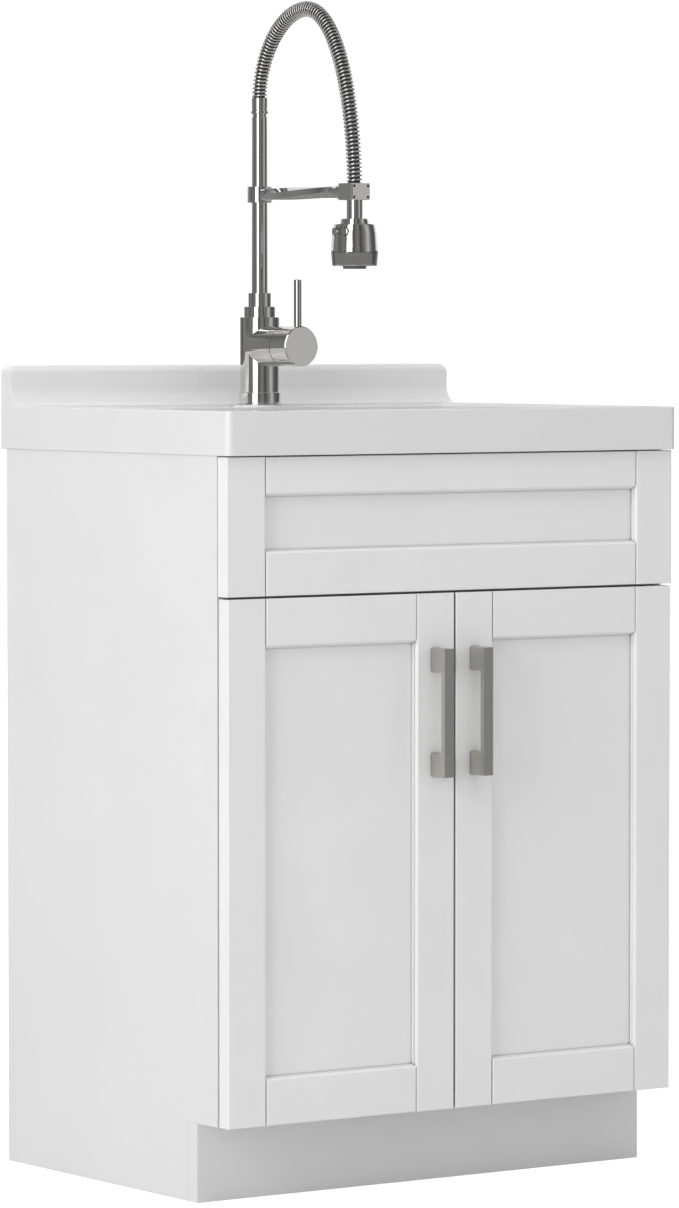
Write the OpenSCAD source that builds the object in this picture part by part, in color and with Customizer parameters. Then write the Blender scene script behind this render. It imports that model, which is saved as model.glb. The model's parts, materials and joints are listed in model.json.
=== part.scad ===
// Laundry sink cabinet: a white shaker base cabinet with two doors, a one-piece sink top
// with a backsplash, and a spring-neck faucet with a pull-down spray head.
// X is the width (0 at the middle), +Y runs from the doors to the wall, Z is up from the floor.

/* [Cabinet] */
// Width across the case sides
case_w = 604.4; // [560:0.2:640]
// Depth from the door faces to the back edge of the case
case_d = 450; // [420:1:500]
// Height of the case under the sink top
case_h = 812; // [760:1:860]
// Thickness of the case boards
board = 15; // [12:1:19]
// Height of the toe-kick space under the doors
kick_h = 87; // [70:1:110]
// Depth of the toe-kick space behind the door faces
kick_set = 60; // [40:1:75]
// Thickness of the board that closes the toe-kick
kick_t = 19; // [15:1:19]

/* [Doors] */
// Thickness of the doors and the false front
door_t = 18; // [16:1:20]
// Gap between the back of a door and the case
door_gap = 1.6; // [1.5:0.1:2.5]
// Height of the door tops above the floor
door_top = 658; // [620:1:680]
// Gap between neighbouring fronts
front_gap = 2.4; // [2:0.2:4]
// Width of the stiles
stile_w = 50; // [45:1:60]
// Height of the rails
rail_h = 51; // [45:1:60]
// Depth of the flat panel behind the face of its frame
recess = 7.5; // [5:0.5:9]

/* [Sink top] */
// Width of the sink top
top_w = 609.6; // [580:0.2:640]
// How far the sink top reaches in front of the doors
top_front = 5.6; // [3:0.2:10]
// Depth behind the door faces at which the sink top ends
top_back = 457.5; // [440:0.5:500]
// Height of the sink top's front edge
top_h = 48; // [40:1:60]
// Height of the backsplash above the deck
splash_h = 46; // [30:1:80]
// Thickness of the backsplash
splash_t = 20; // [15:1:25]
// Width of the bowl at the deck
bowl_w = 500; // [420:5:520]
// Front-to-back size of the bowl at the deck
bowl_l = 285; // [240:5:290]
// Depth of the bowl below the deck
bowl_depth = 255; // [150:5:280]

/* [Faucet] */
// Distance of the faucet's axis behind the door faces
faucet_y = 384.5; // [375:0.5:395]
// Height of the riser above the deck
riser_top = 353; // [300:1:400]
// Reach of the spray head in front of the riser
spout_reach = 191; // [150:1:230]
// Height of the arch above the deck
arch_top = 451; // [430:1:500]

/* [Pulls] */
// Length of a door pull
pull_len = 141.5; // [110:0.5:200]
// Width of a pull's bar
pull_w = 12.7; // [8:0.1:16]
// How far a pull stands out from the door
pull_out = 26; // [22:1:35]
// Distance between the two screws of a pull
pull_cc = 128; // [96:1:160]

/* [Hidden] */
$fn = 96;

// The door faces lie this far in front of the middle of the whole depth
front_y = -(top_back + pull_out) / 2 + pull_out;
case_y = door_t + door_gap;
half_w = case_w / 2;
inner_w = case_w - 2 * board;
deck_z = case_h + top_h;
door_z = kick_h;
door_h = door_top - kick_h;
door_half = half_w - 1.3;
front_z = door_top + front_gap;
front_h = case_h - 1.2 - front_z;
wall = "white";
metal = "silver";

// Frames of the doors and the false front
bevel = 2;
bead_y = 4.2;
bead_w = 1.6;
groove = 9;
panel_t = 6;
seam = 1.2;

// Concealed hinges: the pole that a door turns about, near its outer front edge
pole_x = half_w - 4.7;
pole_y = 3;
cup_x = half_w - 23.8;
cup_r = 17.5;
cup_d = 12;
hinge_zs = [kick_h + 100, door_top - 100];

// Bowl
bowl_y = 50;
bowl_mid = bowl_y + bowl_l / 2;
bowl_z = deck_z - bowl_depth;
bowl_r = 45;
shell = 5;
rim_t = 20;
rim_w = 24;
dip = 2;
cove_r = 20;
drain_r = 44;

// Faucet
mixer_z = deck_z + 67.6;
tilt_y = faucet_y - 22.5;
head_y = faucet_y - spout_reach;
arm_z = deck_z + 242;
neck_r = 6.6;
spring_r = 8.9;

module from_front() { translate([0, front_y, 0]) children(); }
module on_faucet(z = 0) { translate([0, front_y + faucet_y, z]) children(); }
module on_head(z = 0) { translate([0, front_y + head_y, z]) children(); }
module to_front() { rotate([90, 0, 0]) children(); }
module block(x0, y0, z0, x1, y1, z1) {
  translate([x0, y0, z0]) cube([x1 - x0, y1 - y0, z1 - z0]);
}
module ring(r_out, r_in, z0, z1) {
  difference() {
    translate([0, 0, z0]) cylinder(h = z1 - z0, r = r_out);
    translate([0, 0, z0 - 1]) cylinder(h = z1 - z0 + 2, r = r_in);
  }
}
// Centres of what stands in the four corners of a rectangle
module at_corners(w, l) {
  for (x = [-w / 2, w / 2], y = [-l / 2, l / 2]) translate([x, y, 0]) children();
}

// ---- Case -----------------------------------------------------------------------------

// Side board, from its outer face inwards, with the toe-kick space cut out of its foot
module side_board() {
  color(wall) from_front() difference() {
    block(-half_w, case_y, 0, -half_w + board, case_d, case_h);
    block(-half_w - 1, 0, -1, -half_w + board + 1, kick_set + kick_t, kick_h);
  }
}
module left_side() { side_board(); }
module right_side() { mirror([1, 0, 0]) side_board(); }

module bottom_panel() {
  color(wall) from_front()
    block(-inner_w / 2, case_y, kick_h, inner_w / 2, case_d - 1, kick_h + board);
}

module toe_kick() {
  color(wall) from_front()
    block(-half_w + 0.4, kick_set, 0, half_w - 0.4, kick_set + kick_t, kick_h);
}

// Two boards across the front: one behind the gap over the doors, one under the sink top
module front_rails() {
  color(wall) from_front() for (z = [door_top - 28, case_h - 60])
    block(-inner_w / 2, case_y, z, inner_w / 2, case_y + board, z + 56);
}

// Two boards across the open back; the upper one takes the wall screws
module back_rails() {
  color(wall) from_front() for (z = [kick_h + board, case_h - 90]) difference() {
    block(-inner_w / 2, case_d - 1 - board, z, inner_w / 2, case_d - 1, z + 85);
    for (x = [-203, 203]) translate([x, case_d, z + 42.5])
      to_front() cylinder(h = 40, r = 2.5, center = true);
  }
}

// Three-cornered blocks that stiffen the top corners and carry the sink top's screws
module corner_braces() {
  c = 48;
  color("tan") from_front() for (s = [-1, 1], e = [0, 1])
    translate([s * inner_w / 2, e == 0 ? case_y + board : case_d - 1 - board, case_h - 22])
      difference() {
        linear_extrude(18) polygon([[0, 0], [-s * c, 0], [0, (e == 0 ? 1 : -1) * c]]);
        translate([-s * 15, (e == 0 ? 1 : -1) * 15, -1]) cylinder(h = 20, r = 2.6);
      }
}

// ---- Five-piece fronts -----------------------------------------------------------------

// Stile standing on z = 0 with its outer edge at x = 0 and its moulded edge at x = w
module stile(w, h, low_rail, high_rail) {
  r = 1.5;
  difference() {
    union() {
      linear_extrude(h) {
        polygon([[0, r], [0, door_t], [w, door_t], [w, bevel], [w - bevel, 0], [r, 0]]);
        translate([r, r]) circle(r = r, $fn = 32);
      }
      block(w - 1, bead_y, low_rail, w + bead_w, door_t, h - high_rail);
    }
    block(w - groove, recess, low_rail - groove, w + 5, recess + panel_t,
      h - high_rail + groove);
  }
}

// Rail from x = 0 to w with its outer edge at z = 0 and its moulded edge at z = h
module rail(w, h) {
  difference() {
    union() {
      translate([0, 0, 0]) rotate([90, 0, 90]) linear_extrude(w)
        polygon([[0.8, 0], [door_t, 0], [door_t, h], [bevel, h], [0, h - bevel], [0, 0.8]]);
      block(bead_w, bead_y, h - 1, w - bead_w, door_t, h + bead_w);
    }
    block(-1, recess, h - groove, w + 1, recess + panel_t, h + 5);
    for (x = [0, w]) translate([x, 0, -1]) rotate([0, 0, 45])
      cube([seam * sqrt(2), seam * sqrt(2), 2 * h + 9], center = true);
  }
}

module pull_holes(x, z) {
  for (s = [-1, 1]) translate([x, door_t / 2, z + s * pull_cc / 2])
    to_front() cylinder(h = door_t + 2, r = 2.5, center = true);
}
function pull_z() = door_top - 131;

module hinge_stile() {
  color(wall) from_front() difference() {
    translate([-door_half, 0, door_z]) stile(stile_w, door_h, rail_h, rail_h + 1.4);
    for (z = hinge_zs) translate([-cup_x, door_t - cup_d, z])
      rotate([-90, 0, 0]) cylinder(h = cup_d + 1, r = cup_r + 0.05);
  }
}
module pull_stile() {
  color(wall) from_front() difference() {
    translate([-front_gap / 2, 0, door_z]) mirror([1, 0, 0])
      stile(stile_w + 0.8, door_h, rail_h, rail_h + 1.4);
    pull_holes(-front_gap / 2 - (stile_w + 0.8) / 2, pull_z());
  }
}
door_rail_x = -door_half + stile_w;
door_rail_w = door_half - front_gap / 2 - 2 * stile_w - 0.8;
module door_top_rail() {
  color(wall) from_front() translate([door_rail_x, 0, door_top]) mirror([0, 0, 1])
    rail(door_rail_w, rail_h + 1.4);
}
module door_bottom_rail() {
  color(wall) from_front() translate([door_rail_x, 0, door_z]) rail(door_rail_w, rail_h);
}
module door_panel() {
  color(wall) from_front()
    block(door_rail_x - groove + 0.5, recess, door_z + rail_h - groove + 0.5,
      door_rail_x + door_rail_w + groove - 0.5, recess + panel_t,
      door_top - rail_h - 1.4 + groove - 0.5);
}
module left_door_hinge_stile() { hinge_stile(); }
module left_door_pull_stile() { pull_stile(); }
module left_door_top_rail() { door_top_rail(); }
module left_door_bottom_rail() { door_bottom_rail(); }
module left_door_panel() { door_panel(); }
module right_door_hinge_stile() { mirror([1, 0, 0]) hinge_stile(); }
module right_door_pull_stile() { mirror([1, 0, 0]) pull_stile(); }
module right_door_top_rail() { mirror([1, 0, 0]) door_top_rail(); }
module right_door_bottom_rail() { mirror([1, 0, 0]) door_bottom_rail(); }
module right_door_panel() { mirror([1, 0, 0]) door_panel(); }

// Fixed false front under the sink's edge
low_h = 48;
high_h = 41;
module front_stile() {
  color(wall) from_front() translate([-half_w, 0, front_z])
    stile(stile_w + 0.9, front_h, low_h, high_h);
}
module front_left_stile() { front_stile(); }
module front_right_stile() { mirror([1, 0, 0]) front_stile(); }
module front_top_rail() {
  color(wall) from_front() translate([-half_w + stile_w + 0.9, 0, front_z + front_h])
    mirror([0, 0, 1]) rail(case_w - 2 * (stile_w + 0.9), high_h);
}
module front_bottom_rail() {
  color(wall) from_front() translate([-half_w + stile_w + 0.9, 0, front_z])
    rail(case_w - 2 * (stile_w + 0.9), low_h);
}
module front_panel() {
  x = half_w - stile_w - 0.9 + groove - 0.5;
  color(wall) from_front() block(-x, recess, front_z + low_h - groove + 0.5,
    x, recess + panel_t, front_z + front_h - high_h + groove - 0.5);
}

// Soft stops on the case for the free corners of both doors
module door_bumpers() {
  color("white") from_front() for (x = [-14, 14], z = [kick_h + 8, door_top - 10])
    translate([x, case_y, z]) to_front() cylinder(h = 1.3, r = 4.5);
}

// ---- Pulls -----------------------------------------------------------------------------

pull_x = front_gap / 2 + (stile_w + 0.8) / 2;
module pull() {
  bar = 6.5;
  foot = 25.5;
  z = pull_z() - pull_len / 2;
  color("dimgray") from_front() difference() {
    block(-pull_x - pull_w / 2, -pull_out, z, -pull_x + pull_w / 2, 0, z + pull_len);
    block(-pull_x - pull_w, bar - pull_out, z + foot, -pull_x + pull_w, 1,
      z + pull_len - foot);
    for (s = [-1, 1]) translate([-pull_x, 1, pull_z() + s * pull_cc / 2])
      to_front() cylinder(h = 13, r = 2.05);
  }
}
module pull_screws() {
  color(metal) from_front() for (s = [-1, 1])
    translate([-pull_x, 0, pull_z() + s * pull_cc / 2]) {
      translate([0, door_t, 0]) to_front() cylinder(h = door_t + 10, r = 2);
      difference() {
        translate([0, door_t + 1.4, 0]) to_front() cylinder(h = 1.4, r = 4.2);
        for (a = [0, 90]) translate([0, door_t + 1.4, 0]) rotate([0, a, 0])
          cube([4.6, 1.4, 0.9], center = true);
      }
    }
}
module left_pull() { pull(); }
module left_pull_screws() { pull_screws(); }
module right_pull() { mirror([1, 0, 0]) pull(); }
module right_pull_screws() { mirror([1, 0, 0]) pull_screws(); }

// ---- Concealed hinges --------------------------------------------------------------------
// The arms, both pairs of links and the cups are arcs about one pole, so they pass each other

module at_poles() {
  from_front() for (z = hinge_zs) translate([-pole_x, pole_y, z]) children();
}
// Curved plate about the pole between two radii, two angles and two heights
module arc_plate(r0, r1, a0, a1, z0, z1) {
  rotate([0, 0, a0]) rotate_extrude(angle = a1 - a0) translate([r0, z0])
    square([r1 - r0, z1 - z0]);
}
module hinge_cups() {
  color(metal) from_front() for (z = hinge_zs) translate([-cup_x, 0, z]) rotate([-90, 0, 0]) {
    difference() {
      union() {
        translate([0, 0, door_t - cup_d + 0.1]) cylinder(h = cup_d, r = cup_r);
        translate([0, 0, door_t]) linear_extrude(1.1) difference() {
          union() {
            circle(r = cup_r + 1);
            translate([-6, -31]) square([12, 62]);
          }
          for (s = [-1, 1]) translate([0, s * 26]) circle(r = 2.2);
        }
      }
      translate([0, 0, door_t - cup_d + 1]) cylinder(h = cup_d + 2, r = 15.6);
    }
  }
}
module hinge_inner_links() {
  color(metal) at_poles() arc_plate(18.5, 25.5, 13, 56, -2, 2);
}
module hinge_outer_links() {
  color(metal) at_poles() {
    for (s = [-1, 1]) arc_plate(17.6, 26.4, 13.8, 55, s == 1 ? 2.2 : -4.2, s == 1 ? 4.2 : -2.2);
    for (r = [17.6, 25.6]) arc_plate(r, r + 0.8, 13.8, 26, -3, 3);
  }
}
// Arm from the nose in the cup back along the side board, on its screwed mounting plate
module hinge_arms() {
  plate_x = half_w - board - pole_x;
  color(metal) at_poles() {
    for (s = [-1, 1]) arc_plate(17.4, 27, 14, 46, s == 1 ? 4.5 : -6, s == 1 ? 6 : -4.5);
    for (s = [-1, 1]) block(12.2, 16.9, s == 1 ? 4.5 : -6, 21.5, 62, s == 1 ? 6 : -4.5);
    block(19.8, 26, -6, 21.5, 62, 6);
    difference() {
      union() {
        block(-plate_x, case_y + 14, -6, 12.2 , case_y + 46, 6);
        block(-plate_x, case_y + 20, -24, -plate_x + 3.5, case_y + 38, 24);
      }
      for (s = [-1, 1]) translate([-plate_x, case_y + 29, s * 16]) rotate([0, 90, 0])
        cylinder(h = 20, r = 2.4, center = true);
    }
  }
}
module left_hinge_cups() { hinge_cups(); }
module left_hinge_inner_links() { hinge_inner_links(); }
module left_hinge_outer_links() { hinge_outer_links(); }
module left_hinge_arms() { hinge_arms(); }
module right_hinge_cups() { mirror([1, 0, 0]) hinge_cups(); }
module right_hinge_inner_links() { mirror([1, 0, 0]) hinge_inner_links(); }
module right_hinge_outer_links() { mirror([1, 0, 0]) hinge_outer_links(); }
module right_hinge_arms() { mirror([1, 0, 0]) hinge_arms(); }

// ---- Sink top ------------------------------------------------------------------------------

// Rounded rectangle centred on the bowl and grown by g
module bowl_outline(g) {
  w = bowl_w / 2 + g;
  l = bowl_l / 2 + g;
  r = bowl_r + g;
  translate([0, bowl_mid]) {
    block2(-w, -l + r, w, l - r);
    block2(-w + r, -l, w - r, l);
    at_corners(2 * (w - r), 2 * (l - r)) circle(r = r);
  }
}
module bowl_solid(g, z0, z1) { translate([0, 0, z0]) linear_extrude(z1 - z0) bowl_outline(g); }
// Sunk middle of the deck, inside the raised rim along its front and its two ends
module dip_outline() {
  w = top_w / 2 - rim_w;
  y0 = rim_w - top_front;
  y1 = top_back - splash_t - cove_r;
  block2(-w, y0 + 16, w, y1);
  block2(-w + 16, y0, w - 16, y1);
  for (s = [-1, 1]) translate([s * (w - 16), y0 + 16]) circle(r = 16);
}
// Backsplash with a rounded top edge, rounded upper corners and a cove along its foot
module splash() {
  w = top_w / 2;
  face = top_back - splash_t;
  top = deck_z + splash_h;
  intersection() {
    difference() {
      union() {
        block(-w, face, deck_z - 4, w, top_back, top - 8);
        block(-w, face + 8, deck_z, w, top_back, top);
        translate([-w, face + 8, top - 8]) rotate([0, 90, 0]) cylinder(h = top_w, r = 8);
        block(-w, face - cove_r, deck_z - 4, w, face + 1, deck_z + cove_r);
      }
      translate([-w - 1, face - cove_r, deck_z + cove_r]) rotate([0, 90, 0])
        cylinder(h = top_w + 2, r = cove_r);
    }
    union() {
      block(-w, face - 30, deck_z - 5, w, top_back, top - 10);
      block(-w + 10, face - 30, deck_z - 5, w - 10, top_back, top);
      for (s = [-1, 1]) translate([s * (w - 10), top_back, top - 10]) to_front()
        cylinder(h = 60, r = 10);
    }
  }
}
module sink_top() {
  w = top_w / 2;
  color("white") from_front() difference() {
    union() {
      difference() {
        translate([0, 0, case_h]) linear_extrude(top_h) {
          block2(-w, -top_front + 8, w, top_back);
          block2(-w + 8, -top_front, w - 8, top_back);
          for (s = [-1, 1]) translate([s * (w - 8), -top_front + 8]) circle(r = 8);
        }
        block(-w + rim_t, case_y + 1, case_h - 1, w - rim_t, case_d - 14, deck_z - shell - dip);
        translate([0, 0, deck_z - dip]) linear_extrude(10) dip_outline();
      }
      bowl_solid(shell, bowl_z - shell, deck_z - dip - 1);
      splash();
      translate([0, faucet_y, deck_z - 3]) cylinder(h = 3, r = 31);
      translate([0, faucet_y, deck_z - shell - 6]) cylinder(h = 8, r = 36);
    }
    bowl_solid(0, bowl_z, deck_z + 1);
    translate([0, bowl_mid, bowl_z - 20]) cylinder(h = 40, r = drain_r + 0.2);
    translate([0, faucet_y, deck_z - 30]) cylinder(h = 40, r = 17.5);
  }
}
module block2(x0, y0, x1, y1) { translate([x0, y0]) square([x1 - x0, y1 - y0]); }
module at_drain() { translate([0, front_y + bowl_mid, bowl_z]) children(); }

// Flanged strainer that sits in the bowl's floor, with its thread and outlet below
module drain_strainer() {
  color("silver") at_drain() {
    ring(56, 40.5, 0, 2.4);
    ring(drain_r, 40.5, -40, 0.5);
    ring(drain_r, 20.5, -46, -40);
    ring(26, 19.6, -62, -45);
  }
}
module drain_locknut() {
  color("dimgray") at_drain() difference() {
    union() {
      translate([0, 0, -8 - shell]) cylinder(h = 8, r = 60);
      for (a = [0:45:315]) rotate([0, 0, a]) block(54, -7, -26, 64, 7, -6);
      translate([0, 0, -22 - shell]) cylinder(h = 15, r = 57);
    }
    translate([0, 0, -40]) cylinder(h = 60, r = drain_r + 0.05);
  }
}
// Outlet tube with its collar nut; the trap slides on its lower end
module tailpiece() {
  color("white") at_drain() {
    difference() {
      union() {
        translate([0, 0, -180]) cylinder(h = 118, r = 19);
        translate([0, 0, -76]) cylinder(h = 14, r = 31, $fn = 8);
        translate([0, 0, -66]) cylinder(h = 14, r = 29);
      }
      translate([0, 0, -181]) cylinder(h = 140, r = 17.2);
      translate([0, 0, -62]) cylinder(h = 20, r = 26.05);
    }
  }
}
// Lift-out basket with a post to hold it by
module strainer_basket() {
  color("silver") at_drain() difference() {
    union() {
      ring(39.5, 36, -4, -1);
      ring(37.5, 36, -30, -1);
      translate([0, 0, -30]) cylinder(h = 1.5, r = 37.5);
      translate([0, 0, -29]) cylinder(h = 26, r = 3);
      translate([0, 0, -7]) cylinder(h = 5, r = 8);
    }
    for (n = [0:1:15]) rotate([0, 0, n * 22.5]) translate([24, 0, -32]) cylinder(h = 6, r = 2.5);
    for (n = [0:1:7]) rotate([0, 0, n * 45]) translate([13, 0, -32]) cylinder(h = 6, r = 2.5);
  }
}

// ---- Faucet, fixed pieces ----------------------------------------------------------------

module mounting_shank() {
  color("tan") on_faucet(deck_z) difference() {
    translate([0, 0, -62]) cylinder(h = 62, r = 16.5);
    for (s = [-1, 1]) translate([s * 7, 0, -70]) cylinder(h = 100, r = 4.7);
  }
}
module mounting_nut() {
  color("black") on_faucet(deck_z) difference() {
    union() {
      translate([0, 0, -shell - 10]) cylinder(h = 3.8, r = 30);
      translate([0, 0, -shell - 24]) cylinder(h = 14.2, r = 24);
      for (a = [0:90:270]) rotate([0, 0, a]) block(20, -4, -shell - 24, 38, 4, -shell - 14);
    }
    translate([0, 0, -60]) cylinder(h = 70, r = 16.55);
  }
}
module base_ring() {
  color(metal) on_faucet(deck_z) {
    ring(26, 10, 0, 1.5);
    ring(24, 10, 1, 14.5);
  }
}
// Turned body with its upper steps, and the stub that the mixer valve sits in
module faucet_body() {
  axis = mixer_z - deck_z;
  color(metal) on_faucet(deck_z) difference() {
    union() {
      translate([0, 0, 14.7]) cylinder(h = 86.2, r = 22.4);
      translate([0, 0, 100]) cylinder(h = 13, r = 17.7);
      translate([0, 0, 112]) cylinder(h = 16.7, r = 12.9);
      translate([0, 0, axis]) to_front() cylinder(h = 52.5, r = 23);
    }
    translate([0, 0, 90]) cylinder(h = 60, r = 9.05);
    translate([0, 0, axis]) to_front() translate([0, 0, 22.4]) cylinder(h = 60, r = 21.6);
    for (s = [-1, 1]) translate([s * 7, 0, 0]) cylinder(h = 55, r = 4.7);
  }
}
// Valve cartridge under a domed cover, centred on the point that the lever tilts about
module mixer_cartridge() {
  color("gray") from_front() translate([0, tilt_y, mixer_z]) difference() {
    intersection() {
      sphere(r = 34);
      to_front() translate([0, 0, 0]) cylinder(h = 40, r = 21.4);
    }
    to_front() translate([0, 0, 20]) cylinder(h = 30, r = 6.3);
  }
}

// ---- Faucet, mixer -------------------------------------------------------------------------

module mixer_stem() {
  color("tan") from_front() translate([0, tilt_y, mixer_z]) to_front()
    translate([0, 0, 20.4]) cylinder(h = 17.6, r = 6.2);
}
// Hollow cap that turns and tilts on the valve
module mixer_cap() {
  color(metal) from_front() translate([0, tilt_y, mixer_z]) to_front() difference() {
    union() {
      translate([0, 0, 31.2]) cylinder(h = 30.8, r = 23);
      translate([0, 0, 62]) cylinder(h = 1, r1 = 23, r2 = 22);
    }
    translate([0, 0, 30]) cylinder(h = 28, r = 21.6);
    translate([0, 23, 55]) rotate([90, 0, 0]) cylinder(h = 20, r = 4.45);
  }
}
module lever_pin() {
  color(metal) from_front() translate([0, tilt_y - 55, mixer_z + 21.5]) {
    cylinder(h = 54, r = 4.4);
    translate([0, 0, 54]) cylinder(h = 0.8, r1 = 4.4, r2 = 3.6);
  }
}

// ---- Spout ---------------------------------------------------------------------------------

module riser() {
  top = riser_top - 22;
  color(metal) on_faucet(deck_z) {
    difference() {
      union() {
        translate([0, 0, 102]) cylinder(h = top - 102, r = 9);
        translate([0, 0, top]) cylinder(h = 4, r = 8.2);
      }
      translate([0, 0, 101]) cylinder(h = 260, r = 6.7);
    }
  }
}
// Ring and tapered sleeve that hold the lower end of the spring
module riser_ferrule() {
  color(metal) on_faucet(deck_z) difference() {
    union() {
      translate([0, 0, riser_top - 18]) cylinder(h = 3.2, r = 10);
      translate([0, 0, riser_top - 14.8]) cylinder(h = 14.8, r1 = 9, r2 = 9.3);
    }
    translate([0, 0, riser_top - 20]) cylinder(h = 30, r = 6.7);
  }
}

// Neck route in the Y-Z plane: up from the riser, over the arch and down to the head.
// Two cubic curves meet at the top of the arch, where the neck runs level.
rise_pts = [[faucet_y, riser_top], [faucet_y, riser_top + 49],
  [faucet_y - 44.5, arch_top], [faucet_y - 94.5, arch_top]];
fall_pts = [[faucet_y - 94.5, arch_top], [faucet_y - 146.5, arch_top],
  [head_y + 3.5, riser_top + 17], [head_y, riser_top - 101]];
function cubic(p, t) = pow(1 - t, 3) * p[0] + 3 * t * pow(1 - t, 2) * p[1]
  + 3 * t * t * (1 - t) * p[2] + pow(t, 3) * p[3];
function slope(p, t) = 3 * pow(1 - t, 2) * (p[1] - p[0]) + 6 * t * (1 - t) * (p[2] - p[1])
  + 3 * t * t * (p[3] - p[2]);
function neck_ring(p, t, r, n) = let (c = cubic(p, t), d = slope(p, t) / norm(slope(p, t)))
  [for (i = [0:1:n - 1]) let (a = 360 * i / n)
    [r * cos(a), front_y + c[0] + r * sin(a) * d[1], deck_z + c[1] - r * sin(a) * d[0]]];
steps = 14;
function neck_rings(r, n) = concat(
  [for (k = [0:1:steps]) neck_ring(rise_pts, k / steps, r, n)],
  [for (k = [1:1:steps]) neck_ring(fall_pts, k / steps, r, n)]);

// Tube along the neck between an outer and an inner radius; an inner radius of 0 is solid
module neck_tube(r_out, r_in, n = 16) {
  m = 2 * steps + 1;
  outer = [for (q = neck_rings(r_out, n)) each q];
  inner = r_in > 0 ? [for (q = neck_rings(r_in, n)) each q] : [];
  o = m * n;
  last = (m - 1) * n;
  skin = [for (k = [0:1:m - 2], i = [0:1:n - 1]) let (j = (i + 1) % n)
    [k * n + i, k * n + n + i, k * n + n + j, k * n + j]];
  bore = [for (k = [0:1:m - 2], i = [0:1:n - 1]) let (j = (i + 1) % n)
    [o + k * n + i, o + k * n + j, o + k * n + n + j, o + k * n + n + i]];
  rims = [for (i = [0:1:n - 1]) let (j = (i + 1) % n) each [[i, j, o + j, o + i],
    [last + j, last + i, o + last + i, o + last + j]]];
  caps = [[for (i = [0:1:n - 1]) i], [for (i = [n - 1:-1:0]) last + i]];
  polyhedron(points = concat(outer, inner),
    faces = r_in > 0 ? concat(skin, bore, rims) : concat(skin, caps), convexity = 6);
}
module neck_spring() { color(metal) neck_tube(spring_r, 6.9); }
module spray_hose() { color("dimgray") neck_tube(6.4, 0, 12); }

// Clamp round the riser that carries the arm
module arm_clamp() {
  color(metal) on_faucet(arm_z) difference() {
    union() {
      translate([0, 0, -9]) cylinder(h = 18, r = 14);
      to_front() cylinder(h = 20, r = 8);
      for (z = [-5, 5]) translate([10, 0, z]) rotate([0, 90, 0]) cylinder(h = 6, r = 2.4);
    }
    translate([0, 0, -20]) cylinder(h = 40, r = 9.02);
  }
}
arm_end = spout_reach - 13;
// Six-sided bar with a slow twist, and the round flange that meets the holder
module support_arm() {
  color(metal) on_faucet(arm_z) {
    to_front() translate([0, 0, 20]) linear_extrude(arm_end - 34, twist = 75, slices = 16, $fn = 6)
      circle(r = 7);
    to_front() translate([0, 0, arm_end - 14.2]) cylinder(h = 14.2, r = 8.75);
  }
}
// Bored block that the head hangs in, with a plate screwed to its front
module head_holder() {
  color(metal) on_head(arm_z) difference() {
    union() {
      block(-12.9, -11.6, -9.4, 12.9, 12.9, 9.4);
      block(-11.6, -12.9, -8.4, 11.6, -11.4, 8.4);
    }
    translate([0, 0, -20]) cylinder(h = 40, r = 9.35);
    for (x = [-9.4, 9.4], z = [-6.2, 6.2]) translate([x, -8, z])
      to_front() cylinder(h = 10, r = 1.55);
  }
}
module holder_screws() {
  color("dimgray") on_head(arm_z) for (x = [-9.4, 9.4], z = [-6.2, 6.2])
    translate([x, -8, z]) difference() {
      to_front() cylinder(h = 4.4, r = 1.5);
      translate([0, -3.6, 0]) to_front() cylinder(h = 3, r = 0.8, $fn = 6);
    }
}

// ---- Spray head ----------------------------------------------------------------------------

// Turned shell, given by its radius at each height below the deck's level plus the riser
module spray_head() {
  base = deck_z + 155.2;
  color(metal) on_head(base) difference() {
    rotate_extrude() polygon([[14.2, 3.3], [24.4, 3.3], [25.1, 4.2], [26.4, 19], [26.3, 22],
      [25.2, 40], [23.5, 49.2], [22.6, 50.2], [16.6, 50.4], [15.2, 56.2], [9, 57],
      [9, 96.4], [6.9, 96.4], [6.9, 44], [20, 40], [20, 9], [14.2, 9]]);
    translate([0, 0, 41.8]) rotate([0, 0, 192]) {
      toggle_pads(0.6, 26);
      translate([18, -6.5, -2.9]) cube([12, 13, 5.8]);
    }
  }
}
// Two round pads side by side on an upright pin's axis, seen on the shell's face
module toggle_pads(g, r_out) {
  for (a = [-17, 17]) rotate([0, 0, a]) rotate([0, 90, 0]) translate([0, 0, 18])
    cylinder(h = r_out - 18 + 2, r = 4.2 + g);
}
module spray_face() {
  color("gray") on_head(deck_z + 155.2) difference() {
    union() {
      cylinder(h = 8.8, r = 13.1);
      ring(13.9, 10, 3.4, 8.8);
    }
    for (n = [0:1:7]) rotate([0, 0, n * 45]) translate([8, 0, -1]) cylinder(h = 4, r = 0.9);
    translate([0, 0, -1]) cylinder(h = 4, r = 3.4);
  }
}
module spray_toggle() {
  color(metal) on_head(deck_z + 155.2) translate([0, 0, 41.8]) rotate([0, 0, 192])
    intersection() {
      union() {
        toggle_pads(0, 26);
        rotate([0, 90, 0]) translate([-2.4, -6, 21]) cube([4.8, 12, 4.4]);
      }
      ring(27.4, 20.6, -6, 6);
    }
}

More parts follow.
